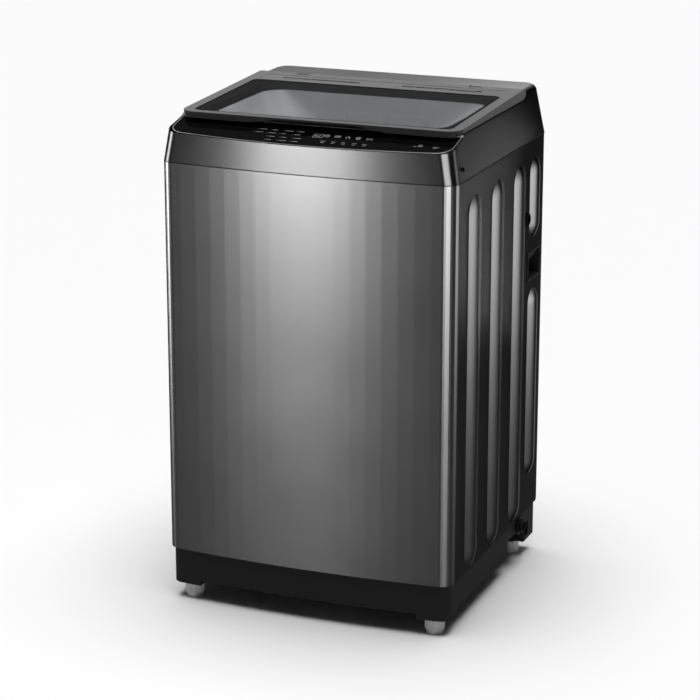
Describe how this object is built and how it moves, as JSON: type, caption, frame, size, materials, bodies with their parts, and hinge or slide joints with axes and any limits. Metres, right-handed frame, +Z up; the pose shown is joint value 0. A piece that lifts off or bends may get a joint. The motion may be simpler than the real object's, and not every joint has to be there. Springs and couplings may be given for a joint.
{
  "type": "top load washing machine",
  "caption": "Free-standing top load washing machine with a ribbed steel cabinet, slanted glass control panel, hinged glass lid, hanging tub and spinning basket.",
  "frame": {"origin": "on the floor under the middle of the cabinet", "axes": "+X to the right as seen from the front, -Y towards the user, +Z up"},
  "size_m": [0.6158, 0.56, 0.9975],
  "materials": {
    "cabinet_paint": "satin metallic graphite",
    "cover_plastic": "satin graphite moulding",
    "lid_plastic": "dark satin",
    "panel_glass": "black gloss glass",
    "lid_glass": "clear toughened glass",
    "base_plastic": "near-black moulding",
    "light_plastic": "light grey moulding",
    "white_plastic": "white polypropylene",
    "tub_plastic": "filled polypropylene",
    "trim_metal": "satin silver",
    "zinc_steel": "zinc plated",
    "stainless": "stainless steel",
    "cast_alloy": "die cast",
    "rubber": "black rubber",
    "foot_plastic": "mid grey moulding",
    "board_green": "circuit board",
    "motor_paint": "dark painted steel",
    "valve_blue": "pale blue moulding",
    "valve_red": "pale red moulding"
  },
  "bodies": {
    "root": {"cabinet_shell": "cabinet_paint", "rear_panel": "cabinet_paint", "rear_panel_screws": "zinc_steel", "base_frame": "base_plastic", "rear_feet": "foot_plastic", "lock_nuts": "zinc_steel", "top_cover": "cover_plastic", "mouth_moulding": "light_plastic", "control_panel_glass": "panel_glass", "control_panel_trim": "trim_metal", "control_board_case": "white_plastic", "control_board": "board_green", "lid_bumpers": "rubber", "lid_lock": "base_plastic", "hinge_blocks": "lid_plastic", "hinge_pins": "zinc_steel", "dispenser_housing": "light_plastic", "inlet_valve_cold": "valve_blue", "inlet_valve_hot": "valve_red", "valve_bracket": "zinc_steel", "cord_gland": "base_plastic", "drain_outlet": "rubber", "drain_hose": "base_plastic", "handle_cup_left": "base_plastic", "handle_cup_right": "base_plastic", "side_plugs": "cover_plastic", "cover_plugs": "cover_plastic", "pressure_sensor": "white_plastic", "rod_brackets": "zinc_steel", "suspension_rods": "zinc_steel", "suspension_springs": "zinc_steel"},
    "lid": {"lid_frame": "lid_plastic", "lid_glass": "lid_glass", "lid_rear_grille": "lid_plastic"},
    "drawer": {"detergent_drawer": "white_plastic", "drawer_front": "light_plastic"},
    "tub": {"outer_tub": "tub_plastic", "tub_lugs": "tub_plastic", "tub_ring": "light_plastic", "damper_cups": "base_plastic", "support_plate": "zinc_steel", "gear_case": "cast_alloy", "motor_body": "motor_paint", "drive_belt": "rubber", "drain_valve": "tub_plastic", "tub_bearing": "zinc_steel", "shaft_seal": "rubber"},
    "basket": {"basket_drum": "stainless", "basket_base": "white_plastic", "basket_hub": "cast_alloy", "balance_ring": "light_plastic"},
    "pulsator_body": {"pulsator": "white_plastic", "pulsator_cap": "light_plastic"},
    "drive_pulley_body": {"drive_pulley": "cast_alloy"},
    "motor_pulley_body": {"motor_pulley": "cast_alloy"},
    "valve_plunger": {"drain_plunger": "zinc_steel"},
    "left_filter": {"lint_filter_left": "white_plastic"},
    "right_filter": {"lint_filter_right": "white_plastic"},
    "left_foot": {"front_foot_left": "foot_plastic"},
    "right_foot": {"front_foot_right": "foot_plastic"}
  },
  "joints": [
    {"name": "lid_hinge", "type": "hinge", "parent": "root", "child": "lid", "pos_m": [0, 0.182, 0.987], "axis": [-1, 0, 0], "range_deg": [0, 85]},
    {"name": "drawer_slide", "type": "slide", "parent": "root", "child": "drawer", "axis": [0, -1, 0], "range_m": [0, 0.09]},
    {"name": "tub_bounce", "type": "slide", "parent": "root", "child": "tub", "axis": [0, 0, 1], "range_m": [-0.012, 0.008], "stiffness_N_per_m": 8000, "springref_m": 0.0285, "deforming": ["suspension_springs", "drain_hose"]},
    {"name": "basket_spin", "type": "hinge", "parent": "tub", "child": "basket", "pos_m": [0, 0, 0.4], "axis": [0, 0, 1], "continuous": true},
    {"name": "pulsator_spin", "type": "hinge", "parent": "tub", "child": "pulsator_body", "pos_m": [0, 0, 0.37], "axis": [0, 0, 1], "continuous": true},
    {"name": "drive_pulley_spin", "type": "hinge", "parent": "tub", "child": "drive_pulley_body", "pos_m": [0, 0, 0.25], "axis": [0, 0, 1], "continuous": true},
    {"name": "motor_spin", "type": "hinge", "parent": "tub", "child": "motor_pulley_body", "pos_m": [0, -0.15, 0.25], "axis": [0, 0, 1], "continuous": true},
    {"name": "drain_valve_slide", "type": "slide", "parent": "tub", "child": "valve_plunger", "axis": [-1, 0, 0], "range_m": [0, 0.01], "stiffness_N_per_m": 500},
    {"name": "left_filter_slide", "type": "slide", "parent": "basket", "child": "left_filter", "axis": [1, 0, 0], "range_m": [0, 0.02]},
    {"name": "right_filter_slide", "type": "slide", "parent": "basket", "child": "right_filter", "axis": [-1, 0, 0], "range_m": [0, 0.02]},
    {"name": "left_foot_screw", "type": "slide", "parent": "root", "child": "left_foot", "axis": [0, 0, 1], "range_m": [-0.012, 0]},
    {"name": "right_foot_screw", "type": "slide", "parent": "root", "child": "right_foot", "axis": [0, 0, 1], "range_m": [-0.012, 0]}
  ],
  "couplings": [
    {"joint": "motor_spin", "follows": "drive_pulley_spin", "ratio": 3.0833},
    {"joint": "pulsator_spin", "follows": "drive_pulley_spin", "ratio": 0.2}
  ]
}
